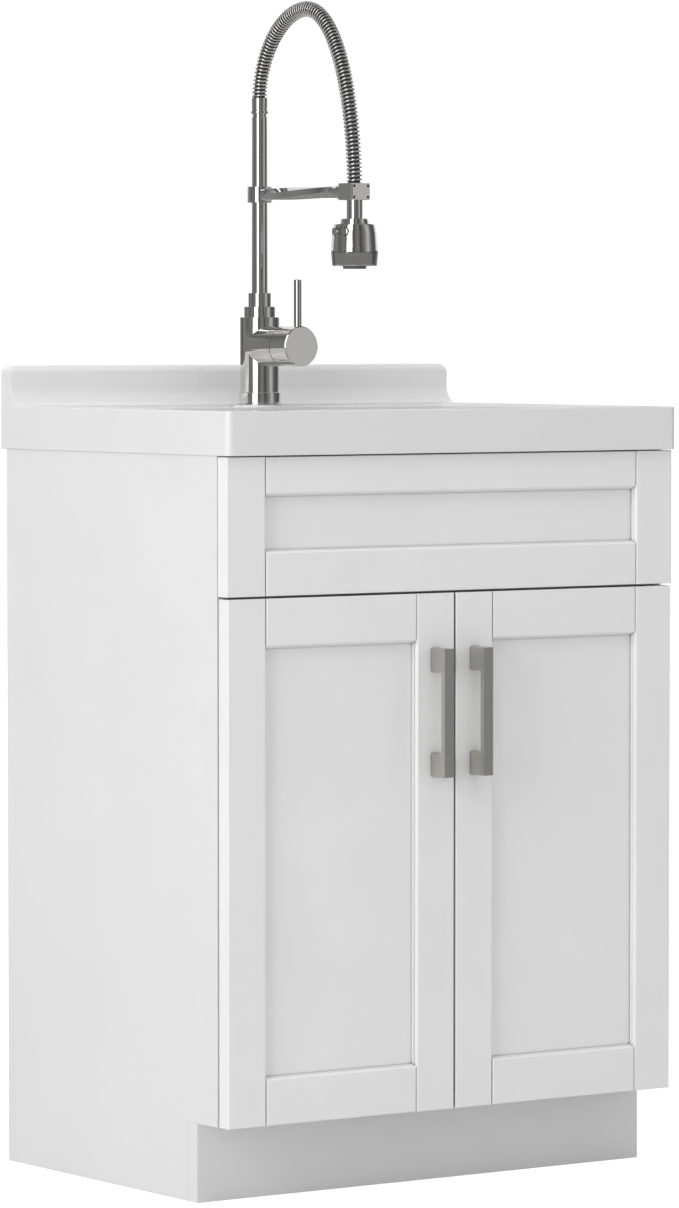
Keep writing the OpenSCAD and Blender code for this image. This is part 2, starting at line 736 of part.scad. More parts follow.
left_side();
right_side();
bottom_panel();
toe_kick();
front_rails();
back_rails();
corner_braces();
front_left_stile();
front_right_stile();
front_top_rail();
front_bottom_rail();
front_panel();
door_bumpers();
left_door_hinge_stile();
left_door_pull_stile();
left_door_top_rail();
left_door_bottom_rail();
left_door_panel();
left_pull();
left_pull_screws();
right_door_hinge_stile();
right_door_pull_stile();
right_door_top_rail();
right_door_bottom_rail();
right_door_panel();
right_pull();
right_pull_screws();
left_hinge_cups();
left_hinge_inner_links();
left_hinge_outer_links();
left_hinge_arms();
right_hinge_cups();
right_hinge_inner_links();
right_hinge_outer_links();
right_hinge_arms();
sink_top();
drain_strainer();
drain_locknut();
tailpiece();
strainer_basket();
mounting_shank();
mounting_nut();
base_ring();
faucet_body();
mixer_cartridge();
mixer_stem();
mixer_cap();
lever_pin();
riser();
riser_ferrule();
neck_spring();
spray_hose();
arm_clamp();
support_arm();
head_holder();
holder_screws();
spray_head();
spray_face();
spray_toggle();
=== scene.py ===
import bmesh
import bpy
import json
import math
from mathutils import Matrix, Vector

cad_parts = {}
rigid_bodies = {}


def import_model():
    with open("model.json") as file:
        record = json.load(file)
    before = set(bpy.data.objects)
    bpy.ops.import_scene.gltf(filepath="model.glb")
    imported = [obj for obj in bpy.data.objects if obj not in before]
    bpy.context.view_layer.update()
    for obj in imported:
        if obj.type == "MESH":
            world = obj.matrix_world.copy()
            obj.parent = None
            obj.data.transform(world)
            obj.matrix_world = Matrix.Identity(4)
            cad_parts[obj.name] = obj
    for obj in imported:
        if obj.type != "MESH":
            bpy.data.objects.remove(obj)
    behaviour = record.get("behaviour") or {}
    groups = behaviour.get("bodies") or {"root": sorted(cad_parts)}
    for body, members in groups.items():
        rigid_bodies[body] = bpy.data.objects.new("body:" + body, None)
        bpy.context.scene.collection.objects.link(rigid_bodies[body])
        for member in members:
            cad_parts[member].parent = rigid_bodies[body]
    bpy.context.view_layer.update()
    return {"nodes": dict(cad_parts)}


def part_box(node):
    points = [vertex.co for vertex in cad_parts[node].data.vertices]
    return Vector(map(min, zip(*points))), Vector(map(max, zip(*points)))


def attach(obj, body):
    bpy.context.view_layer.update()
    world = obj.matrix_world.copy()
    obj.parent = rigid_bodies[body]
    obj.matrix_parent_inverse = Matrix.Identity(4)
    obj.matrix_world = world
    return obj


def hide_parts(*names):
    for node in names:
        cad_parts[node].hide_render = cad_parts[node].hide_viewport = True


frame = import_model()
nodes = frame["nodes"]

# ---- The studio ----
# A pale floor, a wide soft light on the left, a narrow one on the right and a weak one overhead.
# Camera rays see a white backdrop; the metal sees a greyer room, as it does between real soft boxes.
camera_data = bpy.data.cameras.new("camera")
camera_data.lens = 171.65
camera_data.clip_end = 60
camera = bpy.data.objects.new("camera", camera_data)
camera.location = (-3.7235, -5.3439, 0.9557)
camera.rotation_euler = (math.radians(90 - 2.805), 0, math.radians(-34.83))
bpy.context.scene.collection.objects.link(camera)
bpy.context.scene.camera = camera
bpy.context.scene.view_settings.view_transform = "Standard"


def soft_box(name, place, aim, width, height, watts):
    """A rectangular light at place that faces the point aim. Metal mirrors the room's bands, not the light."""
    data = bpy.data.lights.new(name, "AREA")
    data.shape = "RECTANGLE"
    data.size = width
    data.size_y = height
    data.energy = watts
    lamp = bpy.data.objects.new(name, data)
    lamp.visible_glossy = False
    lamp.location = place
    lamp.rotation_euler = (Vector(aim) - Vector(place)).to_track_quat("-Z", "Y").to_euler()
    bpy.context.scene.collection.objects.link(lamp)


soft_box("left_box", (-3.4, -1.1, 1.6), (0, 0, 0.8), 1.3, 2.6, 58)
soft_box("right_box", (2.9, -2.3, 1.5), (0, 0, 0.9), 0.5, 2.4, 10)
soft_box("top_box", (-0.3, -0.6, 3.4), (0, 0, 0), 2.4, 2.4, 38)

world = bpy.data.worlds.new("studio")
bpy.context.scene.world = world
world.use_nodes = True
sky = world.node_tree.nodes
sky.clear()
rays = sky.new("ShaderNodeLightPath")
backdrop = sky.new("ShaderNodeBackground")
backdrop.inputs["Color"].default_value = (1, 1, 1, 1)
backdrop.inputs["Strength"].default_value = 1.05
room = sky.new("ShaderNodeBackground")
room.inputs["Color"].default_value = (1, 1, 1, 1)
room.inputs["Strength"].default_value = 0.515
# Bands of light and dark round the horizon, from the wall behind the camera's right, right round
heading = sky.new("ShaderNodeTexCoord")
compass = sky.new("ShaderNodeSeparateXYZ")
bearing = sky.new("ShaderNodeMath")
bearing.operation = "ARCTAN2"
turn = sky.new("ShaderNodeMapRange")
turn.inputs["From Min"].default_value = -math.pi
turn.inputs["From Max"].default_value = math.pi
bands = sky.new("ShaderNodeValToRGB")
bands.color_ramp.interpolation = "EASE"
for place, level in ((0.038, 0.08), (0.048, 1.0), (0.115, 1.0), (0.128, 0.05), (0.2, 0.11), (0.24, 0.04),
                     (0.3, 0.11), (0.35, 0.27), (0.42, 0.06), (0.5, 0.04), (0.58, 0.16), (0.6, 0.01),
                     (0.7, 0.01), (0.74, 0.18), (0.78, 0.04), (0.86, 0.12), (0.92, 0.07)):
    step = bands.color_ramp.elements.new(place)
    step.color = (level, level, level, 1)
for step in (bands.color_ramp.elements[0], bands.color_ramp.elements[-1]):
    step.color = (0.1, 0.1, 0.1, 1)
behind = sky.new("ShaderNodeVectorMath")
behind.operation = "DOT_PRODUCT"
behind.inputs[1].default_value = (0.571, 0.821, 0)
wall_wash = sky.new("ShaderNodeMapRange")
wall_wash.inputs["From Min"].default_value = 0.5
wall_wash.inputs["From Max"].default_value = 0.85
wall_wash.inputs["To Max"].default_value = 0.42
above = sky.new("ShaderNodeMapRange")
above.inputs["From Min"].default_value = 0.0
above.inputs["From Max"].default_value = 0.04
washed = sky.new("ShaderNodeMath")
washed.operation = "MULTIPLY"
lit = sky.new("ShaderNodeMath")
lit.operation = "ADD"
metal_room = sky.new("ShaderNodeBackground")
metal_room.inputs["Strength"].default_value = 2.1
glossy_mix = sky.new("ShaderNodeMixShader")
camera_mix = sky.new("ShaderNodeMixShader")
sky_out = sky.new("ShaderNodeOutputWorld")
wire = world.node_tree.links.new
wire(heading.outputs["Generated"], compass.inputs[0])
wire(compass.outputs["Y"], bearing.inputs[0])
wire(compass.outputs["X"], bearing.inputs[1])
wire(bearing.outputs[0], turn.inputs["Value"])
wire(turn.outputs[0], bands.inputs["Fac"])
wire(heading.outputs["Generated"], behind.inputs[0])
wire(behind.outputs["Value"], wall_wash.inputs["Value"])
wire(compass.outputs["Z"], above.inputs["Value"])
wire(wall_wash.outputs[0], washed.inputs[0])
wire(above.outputs[0], washed.inputs[1])
wire(bands.outputs["Color"], lit.inputs[0])
wire(washed.outputs[0], lit.inputs[1])
wire(lit.outputs[0], metal_room.inputs["Color"])
wire(rays.outputs["Is Glossy Ray"], glossy_mix.inputs["Fac"])
wire(room.outputs[0], glossy_mix.inputs[1])
wire(metal_room.outputs[0], glossy_mix.inputs[2])
wire(rays.outputs["Is Camera Ray"], camera_mix.inputs["Fac"])
wire(glossy_mix.outputs[0], camera_mix.inputs[1])
wire(backdrop.outputs[0], camera_mix.inputs[2])
wire(camera_mix.outputs[0], sky_out.inputs["Surface"])

floor_mesh = bpy.data.meshes.new("floor")
floor_mesh.from_pydata([(-9, -9, 0), (9, -9, 0), (9, 9, 0), (-9, 9, 0)], [], [(0, 1, 2, 3)])
floor = bpy.data.objects.new("floor", floor_mesh)
bpy.context.scene.collection.objects.link(floor)
floor_paint = bpy.data.materials.new("floor_paint")
floor_paint.use_nodes = True
floor_paint.node_tree.nodes["Principled BSDF"].inputs["Base Color"].default_value = (0.9, 0.9, 0.9, 1)
floor_paint.node_tree.nodes["Principled BSDF"].inputs["Roughness"].default_value = 0.9
floor_paint.node_tree.nodes["Principled BSDF"].inputs["Emission Color"].default_value = (1, 1, 1, 1)
floor_rays = floor_paint.node_tree.nodes.new("ShaderNodeLightPath")
floor_glow = floor_paint.node_tree.nodes.new("ShaderNodeMath")
floor_glow.operation = "MULTIPLY"
floor_glow.inputs[1].default_value = 0.7
floor_tone = floor_paint.node_tree.nodes.new("ShaderNodeMix")
floor_tone.data_type = "RGBA"
floor_tone.inputs[6].default_value = (0.85, 0.85, 0.85, 1)
floor_tone.inputs[7].default_value = (0.4, 0.4, 0.4, 1)
floor_paint.node_tree.links.new(floor_rays.outputs["Is Glossy Ray"], floor_tone.inputs[0])
floor_paint.node_tree.links.new(
    floor_tone.outputs[2], floor_paint.node_tree.nodes["Principled BSDF"].inputs["Base Color"])
floor_paint.node_tree.links.new(floor_rays.outputs["Is Camera Ray"], floor_glow.inputs[0])
floor_paint.node_tree.links.new(
    floor_glow.outputs[0], floor_paint.node_tree.nodes["Principled BSDF"].inputs["Emission Strength"])
floor_mesh.materials.append(floor_paint)

# ---- Case boards ----
# Melamine-faced particle board, glued and doweled: two sides, the floor, rails and the toe-kick.
# The faces are white with a very fine press texture; the cut edges carry a thin edge band.


def node_group(name, inputs, outputs):
    """A new shader group with float inputs {name: default} and outputs {name: socket type}."""
    tree = bpy.data.node_groups.new(name, "ShaderNodeTree")
    for key, value in inputs.items():
        socket = tree.interface.new_socket(key, in_out="INPUT", socket_type="NodeSocketFloat")
        socket.default_value = value
    for key, kind in outputs.items():
        tree.interface.new_socket(key, in_out="OUTPUT", socket_type=kind)
    return tree, tree.nodes.new("NodeGroupInput"), tree.nodes.new("NodeGroupOutput")


# Press texture or orange peel: a small even bump, with the sheen a little uneven over a hand's width
pressed, pressed_in, pressed_out = node_group(
    "pressed_skin", {"Grain": 900, "Depth": 0.1, "Sheen": 0.4, "Uneven": 0.06},
    {"Normal": "NodeSocketVector", "Roughness": "NodeSocketFloat", "Shade": "NodeSocketFloat"})
skin = pressed.nodes
skin_place = skin.new("ShaderNodeTexCoord")
skin_grain = skin.new("ShaderNodeTexNoise")
skin_grain.inputs["Detail"].default_value = 3
skin_bump = skin.new("ShaderNodeBump")
skin_bump.inputs["Distance"].default_value = 0.0002
skin_cloud = skin.new("ShaderNodeTexNoise")
skin_cloud.inputs["Scale"].default_value = 9
skin_cloud.inputs["Detail"].default_value = 4
skin_sheen = skin.new("ShaderNodeMath")
skin_sheen.operation = "MULTIPLY_ADD"
skin_shade = skin.new("ShaderNodeMapRange")
skin_shade.inputs["To Min"].default_value = 0.965
skin_shade.inputs["To Max"].default_value = 1.02
wire = pressed.links.new
wire(skin_place.outputs["Object"], skin_grain.inputs["Vector"])
wire(pressed_in.outputs["Grain"], skin_grain.inputs["Scale"])
wire(pressed_in.outputs["Depth"], skin_bump.inputs["Strength"])
wire(skin_grain.outputs["Fac"], skin_bump.inputs["Height"])
wire(skin_place.outputs["Object"], skin_cloud.inputs["Vector"])
wire(skin_cloud.outputs["Fac"], skin_sheen.inputs[0])
wire(pressed_in.outputs["Uneven"], skin_sheen.inputs[1])
wire(pressed_in.outputs["Sheen"], skin_sheen.inputs[2])
wire(skin_cloud.outputs["Fac"], skin_shade.inputs["Value"])
wire(skin_bump.outputs["Normal"], pressed_out.inputs["Normal"])
wire(skin_sheen.outputs[0], pressed_out.inputs["Roughness"])
wire(skin_shade.outputs[0], pressed_out.inputs["Shade"])


def finish(name, colour, metal=0.0, coat=0.0):
    """A new material, its Principled shader with this colour, and its node tree."""
    material = bpy.data.materials.new(name)
    material.use_nodes = True
    shader = material.node_tree.nodes["Principled BSDF"]
    shader.inputs["Base Color"].default_value = (*colour, 1)
    shader.inputs["Metallic"].default_value = metal
    shader.inputs["Coat Weight"].default_value = coat
    return material, shader, material.node_tree


def skinned(name, colour, grain, depth, sheen, uneven, metal=0.0, coat=0.0, joints=0.0):
    """A finish with the pressed skin, tinted a little unevenly; a nonzero last argument darkens tight corners
    and seams with painted shade.
    """
    material, shader, tree = finish(name, colour, metal, coat)
    group = tree.nodes.new("ShaderNodeGroup")
    group.node_tree = pressed
    for key, value in (("Grain", grain), ("Depth", depth), ("Sheen", sheen), ("Uneven", uneven)):
        group.inputs[key].default_value = value
    tint = tree.nodes.new("ShaderNodeVectorMath")
    tint.operation = "SCALE"
    tint.inputs[0].default_value = colour
    tree.links.new(group.outputs["Shade"], tint.inputs["Scale"])
    tree.links.new(tint.outputs[0], shader.inputs["Base Color"])
    tree.links.new(group.outputs["Normal"], shader.inputs["Normal"])
    tree.links.new(group.outputs["Roughness"], shader.inputs["Roughness"])
    if joints:
        # Painted shade: ambient occlusion within 4 mm darkens the colour in seams, grooves and inside corners
        tight = tree.nodes.new("ShaderNodeAmbientOcclusion")
        tight.inputs["Distance"].default_value = 0.004
        tight.samples = 8
        crevice_shade_tone = tree.nodes.new("ShaderNodeMapRange")
        crevice_shade_tone.inputs["From Min"].default_value = 0.35
        crevice_shade_tone.inputs["From Max"].default_value = 0.8
        crevice_shade_tone.inputs["To Min"].default_value = 1 - joints
        both = tree.nodes.new("ShaderNodeMath")
        both.operation = "MULTIPLY"
        tree.links.new(tight.outputs["AO"], crevice_shade_tone.inputs["Value"])
        tree.links.new(crevice_shade_tone.outputs[0], both.inputs[0])
        tree.links.new(group.outputs["Shade"], both.inputs[1])
        tree.links.new(both.outputs[0], tint.inputs["Scale"])
    return material


def dressed(node, body, material, round_edge=0.0, steps=2, sharp=32, places=()):
    """A smooth-shaded copy of a CAD node with its hard edges rounded, standing for that node.

    Each of places is (test of an edge's middle, radius, steps): the edges there get that radius instead."""
    mesh = nodes[node].data.copy()
    mesh.name = node + "_finished"
    shape = bmesh.new()
    shape.from_mesh(mesh)
    bmesh.ops.remove_doubles(shape, verts=shape.verts, dist=2e-6)
    bmesh.ops.dissolve_limit(shape, angle_limit=math.radians(0.4), verts=shape.verts, edges=shape.edges)
    if round_edge:
        def rest(middle):
            return not any(place[0](middle) for place in places)
        for here, radius, parts in ((rest, round_edge, steps), *places):
            hard = [e for e in shape.edges if e.is_manifold and e.calc_face_angle(0) > math.radians(sharp)
                    and here((e.verts[0].co + e.verts[1].co) / 2)]
            bmesh.ops.bevel(shape, geom=hard, offset=radius, offset_type="OFFSET", segments=parts,
                            profile=0.5, affect="EDGES", clamp_overlap=True)
    shape.to_mesh(mesh)
    shape.free()
    mesh.materials.clear()
    mesh.materials.append(material)
    for face in mesh.polygons:
        face.use_smooth = True
        face.material_index = 0
    mesh.set_sharp_from_angle(angle=math.radians(50 if round_edge else sharp))
    piece = bpy.data.objects.new(node + "_finished", mesh)
    bpy.context.scene.collection.objects.link(piece)
    weighted = piece.modifiers.new("even_faces", "WEIGHTED_NORMAL")
    weighted.keep_sharp = True
    graph = bpy.context.evaluated_depsgraph_get()
    piece.data = bpy.data.meshes.new_from_object(piece.evaluated_get(graph))
    piece.modifiers.clear()
    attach(piece, body)
    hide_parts(node)
    return piece


melamine = skinned("melamine", (0.77, 0.77, 0.772), 1400, 0.12, 0.42, 0.08)
inside_melamine = skinned("inside_melamine", (0.76, 0.76, 0.76), 1400, 0.15, 0.5, 0.08)
for board in ("left_side", "right_side", "toe_kick"):
    dressed(board, "cabinet", melamine, 0.0006)
for board in ("bottom_panel", "front_rails", "back_rails"):
    dressed(board, "cabinet", inside_melamine, 0.0005)

# ---- Corner braces ----
# Offcuts of pine, sawn to triangles, glued into the top corners and drilled for one screw each.
# The saw leaves the growth rings showing as long soft stripes.
pine, pine_shader, pine_tree = finish("pine", (0.64, 0.45, 0.26))
pine_place = pine_tree.nodes.new("ShaderNodeTexCoord")
pine_stretch = pine_tree.nodes.new("ShaderNodeMapping")
pine_stretch.inputs["Scale"].default_value = (1, 0.12, 1)
pine_rings = pine_tree.nodes.new("ShaderNodeTexWave")
pine_rings.inputs["Scale"].default_value = 60
pine_rings.inputs["Distortion"].default_value = 6
pine_ramp = pine_tree.nodes.new("ShaderNodeValToRGB")
pine_ramp.color_ramp.elements[0].color = (0.62, 0.42, 0.23, 1)
pine_ramp.color_ramp.elements[1].color = (0.76, 0.57, 0.36, 1)
pine_tree.links.new(pine_place.outputs["Object"], pine_stretch.inputs["Vector"])
pine_tree.links.new(pine_stretch.outputs["Vector"], pine_rings.inputs["Vector"])
pine_tree.links.new(pine_rings.outputs["Fac"], pine_ramp.inputs["Fac"])
pine_tree.links.new(pine_ramp.outputs["Color"], pine_shader.inputs["Base Color"])
pine_shader.inputs["Roughness"].default_value = 0.7
dressed("corner_braces", "cabinet", pine, 0.0008)

# ---- Door and drawer fronts ----
# Five-piece frames of sprayed hardwood round a flat panel, in a satin white lacquer.
# The lacquer rounds every arris and leaves a faint orange peel.
# The lacquer's colour carries painted shade, darkened by ambient occlusion in seams and along the panels'
# recess edges
lacquer = skinned("lacquer", (0.86, 0.86, 0.86), 420, 0.1, 0.36, 0.07, coat=0.15, joints=0.55)
for part in ("left_stile", "right_stile", "top_rail", "bottom_rail", "panel"):
    dressed("front_" + part, "cabinet", lacquer, 0.0005)
for side in ("left", "right"):
    for part in ("hinge_stile", "pull_stile", "top_rail", "bottom_rail", "panel"):
        dressed(f"{side}_door_{part}", side + "_door", lacquer, 0.0005)

# ---- Door bumpers ----
# Clear domed polyurethane dots, stuck to the case where the free corners of the doors land.
bumper_gel = skinned("bumper_gel", (0.85, 0.86, 0.84), 300, 0.05, 0.25, 0.05)
dressed("door_bumpers", "cabinet", bumper_gel, 0.0004, 3)

# ---- Door pulls and their screws ----
# Solid square bar in brushed nickel: the brush runs along the bar and leaves long fine lines.
brushed, brushed_in, brushed_out = node_group(
    "brush_lines", {"Along X": 500, "Along Y": 500, "Along Z": 6, "Sheen": 0.3, "Depth": 0.15},
    {"Normal": "NodeSocketVector", "Roughness": "NodeSocketFloat", "Shade": "NodeSocketFloat"})
lines = brushed.nodes
line_place = lines.new("ShaderNodeTexCoord")
line_scale = lines.new("ShaderNodeCombineXYZ")
line_stretch = lines.new("ShaderNodeVectorMath")
line_stretch.operation = "MULTIPLY"
line_noise = lines.new("ShaderNodeTexNoise")
line_noise.inputs["Scale"].default_value = 3
line_noise.inputs["Detail"].default_value = 5
line_bump = lines.new("ShaderNodeBump")
line_bump.inputs["Distance"].default_value = 0.0001
line_rough = lines.new("ShaderNodeMath")
line_rough.operation = "MULTIPLY_ADD"
line_rough.inputs[1].default_value = 0.16
line_shade = lines.new("ShaderNodeMapRange")
line_shade.inputs["To Min"].default_value = 0.88
line_shade.inputs["To Max"].default_value = 1.1
wire = brushed.links.new
for axis in "XYZ":
    wire(brushed_in.outputs["Along " + axis], line_scale.inputs[axis])
wire(line_place.outputs["Object"], line_stretch.inputs[0])
wire(line_scale.outputs[0], line_stretch.inputs[1])
wire(line_stretch.outputs[0], line_noise.inputs["Vector"])
wire(line_noise.outputs["Fac"], line_bump.inputs["Height"])
wire(brushed_in.outputs["Depth"], line_bump.inputs["Strength"])
wire(line_noise.outputs["Fac"], line_rough.inputs[0])
wire(brushed_in.outputs["Sheen"], line_rough.inputs[2])
wire(line_noise.outputs["Fac"], line_shade.inputs["Value"])
wire(line_bump.outputs["Normal"], brushed_out.inputs["Normal"])
wire(line_rough.outputs[0], brushed_out.inputs["Roughness"])
wire(line_shade.outputs[0], brushed_out.inputs["Shade"])


def brushed_metal(name, colour, along, sheen, depth=0.15):
    """A metal whose brush lines run along one axis, "X", "Y" or "Z", or everywhere with ""."""
    material, shader, tree = finish(name, colour, 1.0)
    group = tree.nodes.new("ShaderNodeGroup")
    group.node_tree = brushed
    for axis in "XYZ":
        group.inputs["Along " + axis].default_value = 6 if axis == along else 500
    group.inputs["Sheen"].default_value = sheen
    group.inputs["Depth"].default_value = depth
    tint = tree.nodes.new("ShaderNodeVectorMath")
    tint.operation = "SCALE"
    tint.inputs[0].default_value = colour
    tree.links.new(group.outputs["Shade"], tint.inputs["Scale"])
    tree.links.new(tint.outputs[0], shader.inputs["Base Color"])
    tree.links.new(group.outputs["Normal"], shader.inputs["Normal"])
    tree.links.new(group.outputs["Roughness"], shader.inputs["Roughness"])
    return material


nickel = brushed_metal("brushed_nickel", (0.58, 0.565, 0.53), "Z", 0.28)
zinc = brushed_metal("zinc_plate", (0.66, 0.66, 0.66), "", 0.25, 0.08)
for side in ("left", "right"):
    dressed(side + "_pull", side + "_door", nickel, 0.0006, 3)
    dressed(side + "_pull_screws", side + "_door", zinc, 0.0002)

# ---- Concealed hinges ----
# Pressed steel, nickel plated: a cup in the door, two pairs of links and an arm on a plate.
# Each cup's wings and each plate are held by countersunk cross-head screws.
plated = brushed_metal("nickel_plate", (0.7, 0.7, 0.69), "", 0.18, 0.05)
for side in ("left", "right"):
    dressed(side + "_hinge_cups", side + "_door", plated, 0.0002)
    dressed(side + "_hinge_inner_links", side + "_inner_links", plated, 0.0002)
    dressed(side + "_hinge_outer_links", side + "_outer_links", plated, 0.0002)
    dressed(side + "_hinge_arms", "cabinet", plated, 0.0002)


def geometry_tree(name, inputs):
    """A new geometry group with float inputs {name: default}, its input and output nodes."""
    tree = bpy.data.node_groups.new(name, "GeometryNodeTree")
    tree.interface.new_socket("Geometry", in_out="INPUT", socket_type="NodeSocketGeometry")
    for key, value in inputs.items():
        kind = "NodeSocketMaterial" if key == "Finish" else "NodeSocketFloat"
        kind = "NodeSocketInt" if isinstance(value, int) else kind
        socket = tree.interface.new_socket(key, in_out="INPUT", socket_type=kind)
        if value is not None:
            socket.default_value = value
    tree.interface.new_socket("Geometry", in_out="OUTPUT", socket_type="NodeSocketGeometry")
    return tree, tree.nodes.new("NodeGroupInput"), tree.nodes.new("NodeGroupOutput")


def grown(host, name, tree, values):
    """The plain mesh that a geometry tree makes from a host object with these input values."""
    maker = host.modifiers.new("maker", "NODES")
    maker.node_group = tree
    for item in tree.interface.items_tree:
        if item.in_out == "INPUT" and item.name in values:
            maker[item.identifier] = values[item.name]
    graph = bpy.context.evaluated_depsgraph_get()
    mesh = bpy.data.meshes.new_from_object(host.evaluated_get(graph), depsgraph=graph)
    host.modifiers.remove(maker)
    mesh.name = name
    piece = bpy.data.objects.new(name, mesh)
    bpy.context.scene.collection.objects.link(piece)
    return piece


def spots(name, places):
    """A host object with one loose point at each place."""
    mesh = bpy.data.meshes.new(name)
    mesh.from_pydata(places, [], [])
    host = bpy.data.objects.new(name, mesh)
    bpy.context.scene.collection.objects.link(host)
    return host


# Countersunk screw head with a cross cut into it, set on every point of the host and turned to its face
screws, screws_in, screws_out = geometry_tree(
    "cross_head_screws", {"Head radius": 0.0036, "Head height": 0.001,
                          "Slot width": 0.0009, "Slot depth": 0.0007,
                          "Turn X": 0.0, "Turn Y": 0.0, "Turn Z": 0.4, "Finish": None})
wire = screws.links.new
head = screws.nodes.new("GeometryNodeMeshCone")
head.inputs["Vertices"].default_value = 24
head_top = screws.nodes.new("ShaderNodeMath")
head_top.operation = "MULTIPLY"
head_top.inputs[1].default_value = 0.82
slots = []
for turned_by in (0, math.pi / 2):
    bar_size = screws.nodes.new("ShaderNodeCombineXYZ")
    bar_size.inputs["X"].default_value = 0.0046
    bar = screws.nodes.new("GeometryNodeMeshCube")
    bar_lift = screws.nodes.new("ShaderNodeCombineXYZ")
    bar_place = screws.nodes.new("GeometryNodeTransform")
    bar_place.inputs["Rotation"].default_value = (0, 0, turned_by)
    deep = screws.nodes.new("ShaderNodeMath")
    deep.operation = "MULTIPLY"
    deep.inputs[1].default_value = 2
    wire(screws_in.outputs["Slot width"], bar_size.inputs["Y"])
    wire(screws_in.outputs["Slot depth"], deep.inputs[0])
    wire(deep.outputs[0], bar_size.inputs["Z"])
    wire(bar_size.outputs[0], bar.inputs["Size"])
    wire(screws_in.outputs["Head height"], bar_lift.inputs["Z"])
    wire(bar.outputs["Mesh"], bar_place.inputs["Geometry"])
    wire(bar_lift.outputs[0], bar_place.inputs["Translation"])
    slots.append(bar_place)
cut = screws.nodes.new("GeometryNodeMeshBoolean")
cut.operation = "DIFFERENCE"
cut.solver = "EXACT"
head_turn = screws.nodes.new("ShaderNodeCombineXYZ")
head_set = screws.nodes.new("GeometryNodeInstanceOnPoints")
head_spin = screws.nodes.new("GeometryNodeRotateInstances")
head_points = screws.nodes.new("GeometryNodeMeshToPoints")
head_real = screws.nodes.new("GeometryNodeRealizeInstances")
head_finish = screws.nodes.new("GeometryNodeSetMaterial")
wire(screws_in.outputs["Head radius"], head_top.inputs[0])
wire(screws_in.outputs["Head radius"], head.inputs["Radius Bottom"])
wire(head_top.outputs[0], head.inputs["Radius Top"])
wire(screws_in.outputs["Head height"], head.inputs["Depth"])
wire(head.outputs["Mesh"], cut.inputs["Mesh 1"])
for slot in slots:
    wire(slot.outputs[0], cut.inputs["Mesh 2"])
for axis in "XYZ":
    wire(screws_in.outputs["Turn " + axis], head_turn.inputs[axis])
wire(screws_in.outputs["Geometry"], head_points.inputs["Mesh"])
wire(head_points.outputs[0], head_set.inputs["Points"])
wire(cut.outputs["Mesh"], head_set.inputs["Instance"])
wire(head_set.outputs[0], head_spin.inputs["Instances"])
wire(head_turn.outputs[0], head_spin.inputs["Rotation"])
wire(head_spin.outputs[0], head_real.inputs[0])
wire(head_real.outputs[0], head_finish.inputs["Geometry"])
wire(screws_in.outputs["Finish"], head_finish.inputs["Material"])
wire(head_finish.outputs[0], screws_out.inputs[0])

for side, out in (("left", -1), ("right", 1)):
    cup_low, cup_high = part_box(side + "_hinge_cups")
    arm_low, arm_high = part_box(side + "_hinge_arms")
    cup_x = (cup_low.x + cup_high.x) / 2
    heights = (cup_low.z + 0.031, cup_high.z - 0.031)
    wing_screws = grown(
        spots("wing_spots", [(cup_x, cup_high.y, z + s * 0.026) for z in heights for s in (-1, 1)]),
        side + "_wing_screws", screws, {"Turn X": -math.pi / 2, "Finish": zinc})
    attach(wing_screws, side + "_door")
    plate_x = (arm_low.x if out < 0 else arm_high.x) - out * 0.0035
    plate_screws = grown(
        spots("plate_spots", [(plate_x, arm_high.y - 0.017, z + s * 0.016)
                              for z in heights for s in (-1, 1)]),
        side + "_plate_screws", screws, {"Turn Y": -out * math.pi / 2, "Finish": zinc})
    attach(plate_screws, "cabinet")
for host in [o for o in bpy.data.objects if o.name.startswith(("wing_spots", "plate_spots"))]:
    bpy.data.objects.remove(host)

# ---- Sink top ----
# One moulding of glossy white acrylic-faced resin: apron, deck, bowl and backsplash in one.
# The mould leaves soft edges, and the gel coat shows long, slightly wavy reflections.
gel_coat = skinned("gel_coat", (0.785, 0.785, 0.787), 30, 0.06, 0.12, 0.05, coat=0.5)
top_low, top_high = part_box("sink_top")
deck_level = top_high.z - 0.046
in_bowl = Vector((0.2515, 0.1432, 0)), Vector((0, (top_low.y + top_high.y) / 2 - 0.0334, 0))


def on_deck(spot):
    """The small step between the rim and the deck, and the pad under the faucet."""
    apart = spot - in_bowl[1]
    return (abs(spot.z - deck_level + 0.001) < 0.0016 and abs(spot.x) < 0.282 and spot.y > top_low.y + 0.02
            and (abs(apart.x) > in_bowl[0].x or abs(apart.y) > in_bowl[0].y))


def at_floor(spot):
    """The foot of the bowl's walls, moulded with a wide radius."""
    apart = spot - in_bowl[1]
    return abs(spot.z - deck_level + 0.255) < 0.0008 and (abs(apart.x) > 0.2 or abs(apart.y) > 0.09)


dressed("sink_top", "cabinet", gel_coat, 0.004, 4,
        places=((on_deck, 0.0008, 2), (at_floor, 0.018, 7)))

# ---- Drain ----
# Pressed stainless strainer and lift-out basket, with a plastic locknut and outlet tube below.
stainless = brushed_metal("stainless", (0.72, 0.72, 0.71), "", 0.2, 0.1)
white_plastic = skinned("white_plastic", (0.84, 0.84, 0.82), 600, 0.1, 0.35, 0.08)
black_plastic = skinned("black_plastic", (0.03, 0.03, 0.032), 800, 0.2, 0.45, 0.1)
dressed("drain_strainer", "cabinet", stainless, 0.0004)
dressed("strainer_basket", "basket", stainless, 0.0003)
dressed("drain_locknut", "cabinet", black_plastic, 0.0008)
dressed("tailpiece", "cabinet", white_plastic, 0.0006)

# ---- Faucet body ----
# Cast and turned brass under polished chrome, clamped to the deck by a shank and a plastic nut.
# Handling leaves the polish very slightly uneven.
brass = brushed_metal("bare_brass", (0.72, 0.55, 0.28), "", 0.25, 0.1)


def polished(name, colour, sheen, uneven=0.05):
    """Polished metal plating: smooth, with faint clouds from handling."""
    return skinned(name, colour, 60, 0.0, sheen, uneven, metal=1.0)


